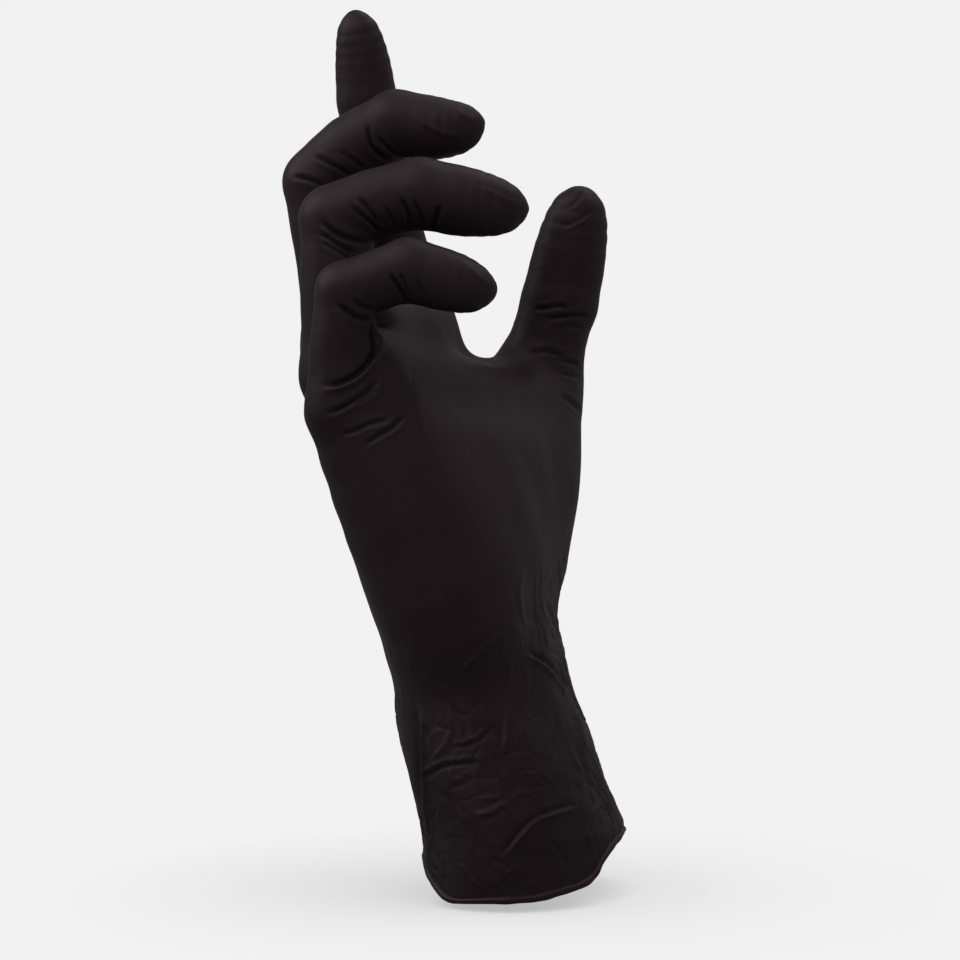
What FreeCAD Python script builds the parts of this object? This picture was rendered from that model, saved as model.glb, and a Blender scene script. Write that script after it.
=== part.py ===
import FreeCAD, Part
import math
import os

# Disposable examination / workshop glove, right-hand worn shape, empty and hollow.
# Millimetres and degrees.  Origin: centre of the cuff opening.  +Z runs up the glove
# to the fingertips, -Y is the palm side, +X is the thumb side.
#
# The membrane is divided into its flex zones: each zone is one thin-walled closed
# solid, cut back from its neighbour by a "roof" of two planes that meet on the
# hinge line, so the two zones can turn through their whole range without touching.

os.makedirs("parts", exist_ok=True)
Vector = FreeCAD.Vector
ORIGIN = Vector(0, 0, 0)
X_AXIS, Y_AXIS, Z_AXIS = Vector(1, 0, 0), Vector(0, 1, 0), Vector(0, 0, 1)

# ------------------------------------------------------------------ dimensions
WALL = 0.8               # shell thickness of the zone solids
GAP = 0.30               # cut-back of each zone from the hinge line
STEP_UP = 0.65           # each zone starts this much wider than the one it nests over
TUBE_BEFORE = 7.0        # tube length kept before its start hinge, ahead of the cuts
TUBE_AFTER = 9.0         # tube length kept past its end hinge, ahead of the cuts
CUT_REACH = 60.0         # default radial reach of a hinge cut
CUT_HALF_WIDTH = 40.0    # default half width of a hinge cut, along its axis
BLOCK_SIZE = 200.0       # side of the block that stands in for a half space

# knuckle hoods
HOOD_DROP = 0.20         # hood radius below the zone's own radius
HOOD_WALL = 0.70
HOOD_MIN_BEND = 60.0     # hinges that bend further than this get a hood
HOOD_START = -14.0       # angle from the back of the hinge where the hood starts
HOOD_MARGIN = 2.0        # extra angle at its other end

# cuff and wrist
BEAD_RADIUS = 1.05       # rolled rim bead, section radius
BEAD_CLEARANCE = 0.12    # bead to sleeve edge
CUFF_HALF_WIDTH, CUFF_HALF_DEPTH = 32.8, 23.0
RIM_SLOPE_X, RIM_SLOPE_Y = 0.12, -0.38     # rim plane: z = slope_x * x + slope_y * y
BEAD_POINTS = 40
WRIST_DEVIATION = Vector(4.2, 9.2, 34.0)   # side-to-side hinge
WRIST_FLEX = Vector(7.0, 15.4, 57.0)       # front-to-back hinge
DEVIATION_RANGE = (-12.0, 12.0)
FLEX_RANGE = (-20.0, 25.0)
WRIST_CUT_REACH = 120.0
FLEX_CUT_HALF_WIDTH = 60.0

# sleeve sections: distance along the cuff axis, half width, half depth
SLEEVE = [
    (-14.0, CUFF_HALF_WIDTH, CUFF_HALF_DEPTH),
    (8.0, CUFF_HALF_WIDTH, CUFF_HALF_DEPTH),
    (28.0, 31.8, 22.4),
    (46.0, 30.6, 21.6),
    (70.0, 30.5, 21.4),
]

# hand sections: centre, tilt of the knuckle line, half width, half thickness
HAND = [
    ((6.6, 13.9, 49.5), 0.0, 29.5, 21.0),
    ((7.5, 17.1, 65.7), 2.0, 32.0, 21.5),
    ((6.7, 26.3, 85.6), 6.0, 35.0, 19.0),
    ((4.9, 35.7, 108.1), 11.0, 36.0, 16.0),
    ((3.8, 41.2, 122.5), 15.5, 37.3, 13.8),
    ((3.4, 44.0, 129.6), 18.0, 36.0, 10.5),
]
HAND_EXPONENT = 2.35     # superellipse exponent of the hand sections, 2 is an ellipse
HAND_OUTER_DOWN = 3.0    # wrist end of the outer hand loft, below its first section
HAND_INNER_DOWN = 6.0    # the same for the cavity
HAND_INNER_UP = -0.9     # knuckle end of the cavity, past the last section

# stubs of the palm shell that lead to the fingers and thumb
SOCKET_FLARE = 0.6       # finger socket radius at its root, above that at the hinge
SOCKET_BEFORE, SOCKET_CAVITY_BEFORE = 6.0, 7.0
THUMB_STUB_BEFORE = 10.0
STUB_AFTER, STUB_CAVITY_AFTER = 9.0, 12.0
SOCKET_CUT_REACH = 45.0

# finger: socket root; MCP, PIP and DIP hinges and tip centre; radii at the same four;
# yaw of the curl plane; bend ranges from the rest pose (MCP, PIP, DIP); half width of
# the cut that ends the palm at the finger
FINGERS = {
    "index": dict(
        root=(31.8, 41.0, 128.0),
        joints=[(32.3, 42.8, 140.5), (32.4, 48.5, 166.7), (31.5, 51.7, 189.0),
                (29.3, 53.5, 207.7)],
        radii=[8.4, 7.4, 6.9, 6.5], yaw=2.0,
        ranges=[(-15, 35), (-5, 60), (-5, 40)], lane=14.0),
    "middle": dict(
        root=(8.8, 50.0, 127.0),
        joints=[(9.1, 52.6, 140.6), (9.3, 58.3, 168.3), (13.4, 38.0, 183.2),
                (16.0, 21.6, 181.8)],
        radii=[8.3, 7.9, 7.3, 6.7], yaw=10.5,
        ranges=[(-15, 30), (-55, 15), (-35, 15)], lane=9.15),
    "ring": dict(
        root=(-9.9, 44.8, 121.0),
        joints=[(-9.3, 45.1, 135.2), (-9.0, 46.5, 158.2), (-3.3, 26.9, 165.2),
                (2.3, 6.9, 161.0)],
        radii=[8.1, 7.7, 7.1, 6.6], yaw=15.5,
        ranges=[(-15, 30), (-60, 15), (-25, 15)], lane=9.1),
    "little": dict(
        root=(-27.3, 39.0, 112.0),
        joints=[(-26.8, 38.3, 124.5), (-26.0, 37.0, 140.5), (-21.6, 23.7, 145.6),
                (-17.2, 8.0, 141.5)],
        radii=[7.5, 7.3, 6.7, 6.1], yaw=16.0,
        ranges=[(-15, 25), (-55, 15), (-30, 15)], lane=9.0),
}

THUMB_CMC = Vector(29.9, 11.3, 74.3)
THUMB_MCP = Vector(54.8, 13.1, 115.7)
THUMB_IP = Vector(57.5, 8.3, 136.3)
THUMB_TIP = Vector(58.4, 3.0, 159.6)
CMC_RADIUS, MCP_RADIUS, IP_RADIUS, THUMB_TIP_RADIUS = 14.0, 10.3, 9.3, 7.7
THUMB_SPLIT = Vector(0.97, 0.0, -0.24)  # normal of the palm / thumb split = CMC hinge axis
CMC_RANGE = (-10.0, 18.0)
THUMB_MCP_RANGE = (-20.0, 12.0)
THUMB_IP_RANGE = (-30.0, 8.0)
CMC_HALF_ANGLE = 68.0                   # half angle of the thumb base sector
CMC_MARGIN = 1.0                        # extra angle of its room at each side
CMC_REACH = 110.0
THUMB_BASE_CUT = dict(reach=40.0, half_width=15.0)


# --------------------------------------------------------------------- vectors
def unit(v):
    v = Vector(v)
    v.normalize()
    return v


def across(v, axis):
    """Unit vector of the part of v square to the unit vector axis."""
    return unit(v - axis * v.dot(axis))


def turned(v, axis, angle):
    return FreeCAD.Rotation(axis, angle).multVec(v)


def side_of(along):
    """A unit vector square to along."""
    return unit(along.cross(Z_AXIS if abs(along.z) < 0.9 else X_AXIS))


def bend_limits(axis, along, next_along, offsets):
    """Whole bend at the two limits, from offsets counted from the rest pose."""
    axis = unit(axis)
    a, b = across(along, axis), across(next_along, axis)
    rest = math.degrees(math.atan2(a.cross(b).dot(axis), a.dot(b)))
    return rest + offsets[0], rest + offsets[1]


# ---------------------------------------------------------------- basic solids
def solid(shape):
    """Largest solid of a shape, turned the right way out."""
    if shape.Solids:
        shape = max(shape.Solids, key=lambda s: s.Volume)
    elif shape.Shells:
        shape = Part.makeSolid(shape.Shells[0])
    if shape.Volume < 0:
        shape.reverse()
    return shape


def save(name, shape):
    solid(shape).exportStep("parts/%s.step" % name)


def tube(start, end, start_radius, end_radius):
    """Conical tube between two hinge points, run on past both ends."""
    length = (end - start).Length
    along = unit(end - start)
    side = side_of(along)
    taper = (end_radius - start_radius) / length
    first = start_radius - taper * TUBE_BEFORE
    last = end_radius + taper * TUBE_AFTER
    profile = [
        (-TUBE_BEFORE, first), (length + TUBE_AFTER, last),
        (length + TUBE_AFTER, last - WALL), (-TUBE_BEFORE, first - WALL),
    ]
    points = [start + along * s + side * radius for s, radius in profile]
    wire = Part.makePolygon(points + [points[0]])
    return solid(Part.Face(wire).revolve(start, along, 360))


def closed_tube(start, end, start_radius, end_radius):
    """Conical tube closed by a round end of radius end_radius centred on end."""
    length = (end - start).Length
    along = unit(end - start)
    side = side_of(along)
    first = start_radius - (end_radius - start_radius) / length * TUBE_BEFORE
    inner = end_radius - WALL
    diagonal = math.cos(math.radians(45))

    def at(s, radius):
        return start + along * s + side * radius

    edges = [
        Part.makeLine(at(-TUBE_BEFORE, first), at(length, end_radius)),
        Part.Arc(at(length, end_radius),
                 at(length + end_radius * diagonal, end_radius * diagonal),
                 at(length + end_radius, 0)).toShape(),
        Part.makeLine(at(length + end_radius, 0), at(length + inner, 0)),
        Part.Arc(at(length + inner, 0),
                 at(length + inner * diagonal, inner * diagonal),
                 at(length, inner)).toShape(),
        Part.makeLine(at(length, inner), at(-TUBE_BEFORE, first - WALL)),
        Part.makeLine(at(-TUBE_BEFORE, first - WALL), at(-TUBE_BEFORE, first)),
    ]
    return solid(Part.Face(Part.Wire(edges)).revolve(start, along, 360))


def rod(start, end, start_radius, end_radius, before, after):
    """Solid cone through two points, run on past both ends."""
    length = (end - start).Length
    along = unit(end - start)
    taper = (end_radius - start_radius) / length
    return Part.makeCone(start_radius - taper * before, end_radius + taper * after,
                         length + before + after, start - along * before, along)


def half_space(point, normal):
    """Large block on the side of the plane that normal points to."""
    block = Part.makeBox(BLOCK_SIZE, BLOCK_SIZE, BLOCK_SIZE,
                         Vector(-BLOCK_SIZE / 2, -BLOCK_SIZE / 2, 0))
    block.Placement = FreeCAD.Placement(point, FreeCAD.Rotation(Z_AXIS, unit(normal)))
    return block


def ellipse_wire(centre, width_dir, depth_dir, half_width, half_depth, exponent=2.0, count=28):
    """Smooth closed curve through points of a superellipse."""
    points = []
    for i in range(count):
        angle = 2 * math.pi * i / count
        cosine, sine = math.cos(angle), math.sin(angle)
        x = math.copysign(abs(cosine) ** (2.0 / exponent), cosine)
        y = math.copysign(abs(sine) ** (2.0 / exponent), sine)
        points.append(centre + width_dir * (half_width * x) + depth_dir * (half_depth * y))
    curve = Part.BSplineCurve()
    curve.interpolate(Points=points, PeriodicFlag=True)
    return Part.Wire(curve.toShape())


# ------------------------------------------------------------------ hinge cuts
def sector(apex, axis, zero_dir, first, last, reach, half_width):
    """Prism over the angles first..last, about axis from zero_dir, with its edge at apex."""
    axis = unit(axis)
    zero_dir = across(zero_dir, axis)
    corner = apex - axis * half_width
    steps = max(2, int(math.ceil((last - first) / 30.0)))
    points = [corner]
    for i in range(steps + 1):
        angle = first + (last - first) * i / steps
        points.append(corner + turned(zero_dir, axis, angle) * reach)
    face = Part.Face(Part.makePolygon(points + [corner]))
    return face.extrude(axis * (2 * half_width))


def end_cut(hinge, axis, along, limits, reach=CUT_REACH, half_width=CUT_HALF_WIDTH):
    """Room beyond the end of a zone that runs along up to the hinge.
    A positive bend turns the next zone by the right-hand rule about axis;
    limits are the whole bend at its two ends, counted from straight."""
    low, high = limits
    axis = unit(axis)
    along = across(along, axis)
    return sector(hinge - along * GAP, axis, along,
                  -(90.0 - low / 2.0), 90.0 + high / 2.0, reach, half_width)


def start_cut(hinge, axis, along, limits, reach=CUT_REACH, half_width=CUT_HALF_WIDTH):
    """Room before the start of a zone that leaves the hinge along."""
    low, high = limits
    axis = unit(axis)
    along = across(along, axis)
    return sector(hinge + along * GAP, axis, -along,
                  -(90.0 + high / 2.0), 90.0 - low / 2.0, reach, half_width)


def hood(hinge, axis, along, limits, radius):
    """Part-spherical knuckle shell on the back of a hinge."""
    low, high = limits
    axis = unit(axis)
    back = turned(across(along, axis), axis, -90.0)
    ball = Part.makeSphere(radius, hinge).cut(Part.makeSphere(radius - HOOD_WALL, hinge))
    wedge = sector(hinge, axis, back, HOOD_START, high - low / 2.0 + HOOD_MARGIN,
                   3 * radius, 2 * radius)
    return ball.common(wedge)


def tube_zone(start, end, radii, axis, start_limits, end_limits):
    """Open zone between two hinges, wider at its start to nest over its neighbour."""
    along = end - start
    zone = tube(start, end, radii[0] + STEP_UP, radii[1])
    zone = zone.cut(end_cut(end, axis, along, end_limits))
    return solid(zone.cut(start_cut(start, axis, along, start_limits)))


def tip_zone(start, end, radii, axis, limits):
    """Last zone of a digit, with a round closed end."""
    zone = closed_tube(start, end, radii[0] + STEP_UP, radii[1])
    return solid(zone.cut(start_cut(start, axis, end - start, limits)))


# ------------------------------------------------------------- cuff and wrist
cuff_along = unit(WRIST_FLEX)
cuff_width_dir = across(X_AXIS, cuff_along)
cuff_depth_dir = cuff_width_dir.cross(cuff_along)   # towards the palm side
rim_normal = unit(Vector(-RIM_SLOPE_X, -RIM_SLOPE_Y, 1.0))
deviation_axis = cuff_depth_dir * -1.0   # positive turns the hand to the thumb side
flex_axis = X_AXIS                       # positive bends the hand to the palm side


def sleeve_loft(inset):
    wires = [ellipse_wire(ORIGIN + cuff_along * s, cuff_width_dir, cuff_depth_dir,
                          half_width - inset, half_depth - inset)
             for s, half_width, half_depth in SLEEVE]
    return solid(Part.makeLoft(wires, True, False))


def build_sleeves():
    """Cuff and wrist sleeves, either side of the side-to-side hinge."""
    forearm = sleeve_loft(0.0).cut(sleeve_loft(WALL))
    hinge = (WRIST_DEVIATION, deviation_axis, cuff_along, DEVIATION_RANGE, WRIST_CUT_REACH)
    above_bead = half_space(rim_normal * (BEAD_RADIUS + BEAD_CLEARANCE), rim_normal)
    save("cuff_sleeve", forearm.common(above_bead).cut(end_cut(*hinge)))
    wrist = forearm.cut(start_cut(*hinge))
    save("wrist_sleeve", wrist.cut(end_cut(WRIST_FLEX, flex_axis, cuff_along, FLEX_RANGE,
                                           WRIST_CUT_REACH, FLEX_CUT_HALF_WIDTH)))


def build_bead():
    """Rolled rim bead: round section swept round the edge of the opening."""
    points = []
    for i in range(BEAD_POINTS):
        angle = 2 * math.pi * i / BEAD_POINTS
        point = (cuff_width_dir * ((CUFF_HALF_WIDTH - WALL / 2) * math.cos(angle))
                 + cuff_depth_dir * ((CUFF_HALF_DEPTH - WALL / 2) * math.sin(angle)))
        # slide along the cuff axis onto the rim plane
        slide = -point.dot(rim_normal) / cuff_along.dot(rim_normal)
        points.append(point + cuff_along * slide)
    path = Part.BSplineCurve()
    path.interpolate(Points=points, PeriodicFlag=True)
    tangent = path.tangent(path.FirstParameter)[0]
    ring = Part.Wire(Part.Circle(points[0], tangent, BEAD_RADIUS).toShape())
    save("cuff_bead", Part.Wire(path.toShape()).makePipeShell([ring], True, True))


# ------------------------------------------------------------------------ hand
def hand_loft(inset, down, up):
    """Loft through the hand sections, run on at the wrist and knuckle ends."""
    wires = []
    last = len(HAND) - 1
    for i, (centre, tilt, half_width, half_depth) in enumerate(HAND):
        centre = Vector(*centre)
        before = Vector(*HAND[max(0, i - 1)][0])
        after = Vector(*HAND[min(last, i + 1)][0])
        along = unit(after - before)
        tilt = math.radians(tilt)
        width_dir = across(Vector(math.cos(tilt), 0, math.sin(tilt)), along)
        depth_dir = width_dir.cross(along)
        if i == 0:
            centre = centre - along * down
        if i == last:
            centre = centre + along * up
        wires.append(ellipse_wire(centre, width_dir, depth_dir,
                                  half_width - inset, half_depth - inset, HAND_EXPONENT))
    return solid(Part.makeLoft(wires, True, False))


def hand_shell():
    """Hollow hand with finger sockets and thumb base, before it is split."""
    outer = [hand_loft(0.0, HAND_OUTER_DOWN, 0.0)]
    inner = [hand_loft(WALL, HAND_INNER_DOWN, HAND_INNER_UP)]
    for finger in FINGERS.values():
        root, knuckle = Vector(*finger["root"]), Vector(*finger["joints"][0])
        radius = finger["radii"][0]
        wide = radius + SOCKET_FLARE
        outer.append(rod(root, knuckle, wide, radius, SOCKET_BEFORE, STUB_AFTER))
        inner.append(rod(root, knuckle, wide - WALL, radius - WALL,
                         SOCKET_CAVITY_BEFORE, STUB_CAVITY_AFTER))
    outer.append(rod(THUMB_CMC, THUMB_MCP, CMC_RADIUS, MCP_RADIUS,
                     THUMB_STUB_BEFORE, STUB_AFTER))
    inner.append(rod(THUMB_CMC, THUMB_MCP, CMC_RADIUS - WALL, MCP_RADIUS - WALL,
                     THUMB_STUB_BEFORE - WALL, STUB_CAVITY_AFTER))
    return outer[0].fuse(outer[1:]).cut(inner[0].fuse(inner[1:]))


def finger_frame(finger):
    """Hinge axis, joints, directions from the root on, and bend limits per hinge."""
    yaw = math.radians(finger["yaw"])
    axis = Vector(math.cos(yaw), math.sin(yaw), 0)
    joints = [Vector(*p) for p in finger["joints"]]
    dirs = [joints[0] - Vector(*finger["root"])]
    dirs += [joints[i + 1] - joints[i] for i in range(3)]
    limits = [bend_limits(axis, dirs[i], dirs[i + 1], finger["ranges"][i]) for i in range(3)]
    return axis, joints, dirs, limits


split_normal = unit(THUMB_SPLIT)         # towards the thumb
thumb_along = across(THUMB_MCP - THUMB_CMC, split_normal)


def thumb_sector(first, last):
    return sector(THUMB_CMC, split_normal, thumb_along, first, last, CMC_REACH, CUT_HALF_WIDTH)


def build_palm(shell):
    # room for the thumb base through its whole range
    room = thumb_sector(-(CMC_HALF_ANGLE - CMC_RANGE[0] + CMC_MARGIN),
                        CMC_HALF_ANGLE + CMC_RANGE[1] + CMC_MARGIN)
    palm = shell.cut(room.common(half_space(THUMB_CMC - split_normal * GAP, split_normal)))
    palm = palm.cut(start_cut(WRIST_FLEX, flex_axis, cuff_along, FLEX_RANGE,
                              WRIST_CUT_REACH, FLEX_CUT_HALF_WIDTH))
    for finger in FINGERS.values():
        axis, joints, dirs, limits = finger_frame(finger)
        palm = palm.cut(end_cut(joints[0], axis, dirs[0], limits[0],
                                SOCKET_CUT_REACH, finger["lane"]))
    save("palm", palm)


def build_finger(name, finger):
    axis, joints, dirs, limits = finger_frame(finger)
    radii = finger["radii"]
    for i, part in enumerate(["proximal", "middle"]):
        end_limits = limits[i + 1]
        zone = tube_zone(joints[i], joints[i + 1], radii[i:i + 2], axis, limits[i], end_limits)
        if end_limits[1] > HOOD_MIN_BEND:
            zone = zone.fuse(hood(joints[i + 1], axis, dirs[i + 1], end_limits,
                                  radii[i + 1] - HOOD_DROP))
        save("%s_%s" % (name, part), zone)
    save(name + "_tip", tip_zone(joints[2], joints[3], radii[2:], axis, limits[2]))


def build_thumb(shell):
    axis = Y_AXIS                        # positive turns the tip towards +X
    base_dir = THUMB_MCP - THUMB_CMC
    middle_dir = THUMB_IP - THUMB_MCP
    mcp_limits = bend_limits(axis, base_dir, middle_dir, THUMB_MCP_RANGE)
    ip_limits = bend_limits(axis, middle_dir, THUMB_TIP - THUMB_IP, THUMB_IP_RANGE)
    base = shell.common(thumb_sector(-CMC_HALF_ANGLE, CMC_HALF_ANGLE))
    base = base.common(half_space(THUMB_CMC + split_normal * GAP, split_normal))
    save("thumb_base", base.cut(end_cut(THUMB_MCP, axis, base_dir, mcp_limits,
                                        **THUMB_BASE_CUT)))
    save("thumb_proximal", tube_zone(THUMB_MCP, THUMB_IP, (MCP_RADIUS, IP_RADIUS),
                                     axis, mcp_limits, ip_limits))
    save("thumb_tip", tip_zone(THUMB_IP, THUMB_TIP, (IP_RADIUS, THUMB_TIP_RADIUS),
                               axis, ip_limits))


build_sleeves()
build_bead()
glove_shell = hand_shell()
build_palm(glove_shell)
for finger_name, finger_data in FINGERS.items():
    build_finger(finger_name, finger_data)
build_thumb(glove_shell)
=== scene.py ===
"""A black nitrile glove standing on its cuff, as if worn by a hand with half-curled fingers.

Row frame, in millimetres: the origin is the middle of the cuff opening, +Z runs from the
cuff to the fingertips, +X points to the index and thumb side and -Y to the palm side.
One film is meshed round a distance field of the hand, folds are pressed into it, and it is
cut into pieces, one for each body or joint; the sleeve and the palm follow their bodies.  Blender
gets metres.
"""

import math

import bpy
import numpy as np
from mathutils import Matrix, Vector


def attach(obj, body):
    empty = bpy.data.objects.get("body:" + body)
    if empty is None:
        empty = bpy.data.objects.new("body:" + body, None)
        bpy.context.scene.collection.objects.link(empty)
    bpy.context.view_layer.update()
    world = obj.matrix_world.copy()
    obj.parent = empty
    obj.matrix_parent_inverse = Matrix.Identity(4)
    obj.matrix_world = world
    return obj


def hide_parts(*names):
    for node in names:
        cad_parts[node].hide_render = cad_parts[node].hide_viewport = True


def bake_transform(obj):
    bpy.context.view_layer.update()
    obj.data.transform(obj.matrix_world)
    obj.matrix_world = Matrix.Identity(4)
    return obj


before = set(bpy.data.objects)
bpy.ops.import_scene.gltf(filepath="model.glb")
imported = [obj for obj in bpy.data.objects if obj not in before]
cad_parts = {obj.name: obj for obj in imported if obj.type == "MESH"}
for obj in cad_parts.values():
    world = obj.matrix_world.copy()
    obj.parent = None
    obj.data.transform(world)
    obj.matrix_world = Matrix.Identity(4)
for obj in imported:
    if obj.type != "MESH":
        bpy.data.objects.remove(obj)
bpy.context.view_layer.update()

# ------------------------------------------------------------------- main view
# Shapes are drawn as the camera sees them, from the little finger's side.  A drawn place is
# (right, up, depth) in mm: right and up of the camera's axis where its line of sight crosses
# the plane VIEW_DISTANCE away, and depth beyond that plane.
VIEW_DISTANCE = 1000.0
FRAME_WIDTH = 240.0  # seen at VIEW_DISTANCE
SENSOR_WIDTH = 36.0
TILT_DOWN, YAW = math.radians(3.0), math.radians(18.0)
COS_TILT, SIN_TILT = math.cos(TILT_DOWN), math.sin(TILT_DOWN)
COS_YAW, SIN_YAW = math.cos(YAW), math.sin(YAW)
OPENING = (10.5, -94.5, -8)  # drawn place of the cuff opening's middle


def turned(p):
    """Camera axes (right, forward, up) to the row frame's directions."""
    p = np.asarray(p, float)
    x, y, z = p[..., 0], p[..., 1], p[..., 2]
    y, z = y * COS_TILT + z * SIN_TILT, -y * SIN_TILT + z * COS_TILT
    return np.stack([SIN_YAW * x + COS_YAW * y, -COS_YAW * x + SIN_YAW * y, z], -1)


def from_axis(right, up, depth):
    spread = 1 + depth / VIEW_DISTANCE
    return turned(np.stack(np.broadcast_arrays(right * spread, depth, up * spread), -1))


ORIGIN = from_axis(*OPENING)
FORWARD, RIGHT, UP = turned([0, 1.0, 0]), turned([1.0, 0, 0]), turned([0, 0, 1.0])
EYE = -ORIGIN - FORWARD * VIEW_DISTANCE


def at(right, up, depth):
    """A drawn place in the row frame."""
    return from_axis(right, up, depth) - ORIGIN


def as_seen(p):
    """Drawn right and up of row frame points."""
    q = p - EYE
    reach = q @ FORWARD
    return q @ RIGHT / reach * VIEW_DISTANCE, q @ UP / reach * VIEW_DISTANCE


# ------------------------------------------------------------------ small maths
def rise(value, start=0.0, end=1.0):
    """Eased step from 0 at start to 1 at end; end may lie below start."""
    t = np.clip((value - start) / (end - start), 0, 1)
    return t * t * (3 - 2 * t)


def unit(v):
    v = np.asarray(v, float)
    return v / np.linalg.norm(v)


def bell(x):
    return np.exp(-0.5 * x * x)


def valley(x, lip, lip_at):
    """A unit groove with a raised lip on each side."""
    return -bell(x) + lip * bell(np.abs(x) - lip_at)


def crest(field, width):
    """Narrow ridges along the zero lines of a field."""
    return np.exp(-(field / width) ** 2)


def ripple(p, wave, seed):
    """Smooth random field, about unit variance, with features wave mm long."""
    count, spread = 22, 0.35
    rng = np.random.RandomState(seed)
    k = rng.normal(size=(count, 3))
    k /= np.linalg.norm(k, axis=1)[:, None]
    k *= (2 * np.pi / wave) * (1 + spread * rng.uniform(-1, 1, (count, 1)))
    phase = rng.uniform(0, 2 * np.pi, count)
    return np.cos(p @ k.T + phase).sum(1) * math.sqrt(2.0 / count)


def spline(p, spans):
    """Catmull-Rom points through p, with spans(b, c) steps from a point b to the next, c."""
    q = np.vstack([2 * p[0] - p[1], p, 2 * p[-1] - p[-2]])
    out = [p[0]]
    for a, b, c, d in zip(q, q[1:], q[2:], q[3:]):
        steps = spans(b, c)
        for j in range(1, steps + 1):
            t = j / steps
            out.append(0.5 * (2 * b + (c - a) * t + (2 * a - 5 * b + 4 * c - d) * t * t
                              + (3 * b - a - 3 * c + d) * t ** 3))
    return np.array(out)


# ------------------------------------------------------------- distance fields
CULL = 24.0  # a capsule farther than this from a whole batch is skipped
FAR_AWAY = 60.0  # distance given when every capsule is skipped
CHAIN_SPANS = 2


def smin(a, b, k):
    """Smooth minimum with a blend k mm wide."""
    h = np.clip(0.5 + 0.5 * (b - a) / k, 0, 1)
    return b + (a - b) * h - k * h * (1 - h)


def capsule(p, a, b, radius_a, radius_b):
    ba = b - a
    t = np.clip(((p - a) @ ba) / (ba @ ba), 0, 1)
    return np.linalg.norm(p - a - t[:, None] * ba, axis=1) - (radius_a + (radius_b - radius_a) * t)


def chain(stations):
    """Drawn (right, up, depth, radius) rows, smoothed, as row frame points and radii."""
    right, up, depth, radius = np.array(stations, float).T
    p = np.column_stack([at(right, up, depth), radius * (1 + depth / VIEW_DISTANCE)])
    if len(p) > 2:
        drawn = p[:, 3]
        p = spline(p, lambda b, c: CHAIN_SPANS)
        for i, row in enumerate(p[1:]):
            ends = drawn[i // CHAIN_SPANS], drawn[i // CHAIN_SPANS + 1]
            row[3] = min(max(row[3], min(ends)), max(ends) * 1.01)
    return [(row[:3], row[3]) for row in p]


def chain_field(p, points, k=0.0):
    """Distance to a chain of tapered capsules, blended over k mm."""
    low, high = p.min(0), p.max(0)
    field = None
    for (a, radius_a), (b, radius_b) in zip(points, points[1:]):
        r = max(radius_a, radius_b) + CULL
        if (np.minimum(a, b) - r > high).any() or (np.maximum(a, b) + r < low).any():
            continue
        one = capsule(p, a, b, radius_a, radius_b)
        if field is None:
            field = one
        else:
            field = np.minimum(field, one) if k == 0 else smin(field, one, k)
    return np.full(len(p), FAR_AWAY) if field is None else field


def batched(field, p, cell=16.0):
    """field over p in compact batches, so that far parts of the shape are skipped."""
    key = np.floor(p / cell).astype(np.int64) + 64
    key = (key[:, 0] * 128 + key[:, 1]) * 128 + key[:, 2]
    order = np.argsort(key, kind="stable")
    cuts = np.flatnonzero(np.diff(key[order])) + 1
    out = None
    for part in np.split(order, cuts):
        values = field(p[part])
        if out is None:
            out = np.empty((len(p),) + values.shape[1:])
        out[part] = values
    return out


# ----------------------------------------------------------- shape of the hand
# Chains of drawn (right, up, depth, radius); each digit's run from root to tip.
FINGERS = {
    "index": [
        [(-18, 33.75, 28, 10.75), (-19, 45, 28.3, 9.5), (-20.25, 52.5, 28.5, 8.875),
         (-22.25, 60.5, 28.8, 8.375), (-24.75, 73, 29, 7.875)],
        [(-24.75, 73, 29, 7.875), (-26.5, 85, 28.5, 7.625), (-28.25, 94.75, 28, 7.25)],
        [(-28.25, 94.75, 28, 7.25), (-28.875, 100.5, 27.5, 7.25), (-29.625, 106.5, 26.5, 6.5),
         (-30.375, 111.25, 25.5, 5.375), (-31, 114.25, 25, 3.25)],
    ],
    "middle": [
        [(-33.5, 32.5, 9, 10.25), (-35.25, 42.5, 9.3, 9.25), (-37.5, 54.5, 9.6, 8.375),
         (-39.25, 63.75, 9.8, 8.25), (-40.75, 74.5, 10, 8.325)],
        [(-40.75, 74.5, 10, 8.325), (-32, 82.625, 8.5, 8.75), (-21, 89.375, 6.7, 8)],
        [(-21, 89.375, 6.7, 8), (-13.75, 88.25, 5.8, 8.125), (-8.75, 87.875, 5, 7.375),
         (-5.25, 88.125, 4.4, 6.125), (-2, 89, 4, 3.25), (0, 89.5, 4, 1.25)],
    ],
    "ring": [
        [(-35.125, 26, -10, 9.125), (-35.5, 37.5, -10, 9.175), (-35.75, 47.5, -10.2, 9.25),
         (-35.75, 57.5, -10.3, 9.25), (-36.5, 65.25, -10.5, 8.5)],
        [(-36.5, 65.25, -10.5, 8.5), (-27, 69, -11, 8.625), (-15.25, 71.75, -11.7, 8.75)],
        [(-15.25, 71.75, -11.7, 8.75), (-6.25, 70, -12, 8.875), (0.25, 68.875, -12.3, 8.125),
         (5, 68.125, -12.5, 6.625), (8.75, 67.875, -12.5, 3.5), (11.125, 67.875, -12.5, 1.25)],
    ],
    "little": [
        [(-35.25, 17, -28, 7.5), (-34.75, 27.5, -28, 8.125), (-34.25, 36.25, -28.2, 8.125),
         (-33.5, 47.25, -28.7, 7.5)],
        [(-33.5, 47.25, -28.7, 7.5), (-27, 49.5, -28.9, 7.625), (-18, 52.625, -29, 7.75)],
        [(-18, 52.625, -29, 7.75), (-12.5, 51, -29.2, 7.875), (-7, 49.5, -29.4, 7.5),
         (-3, 48.25, -29.5, 6.5), (0.25, 47.75, -29.5, 4.125)],
    ],
}
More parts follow.
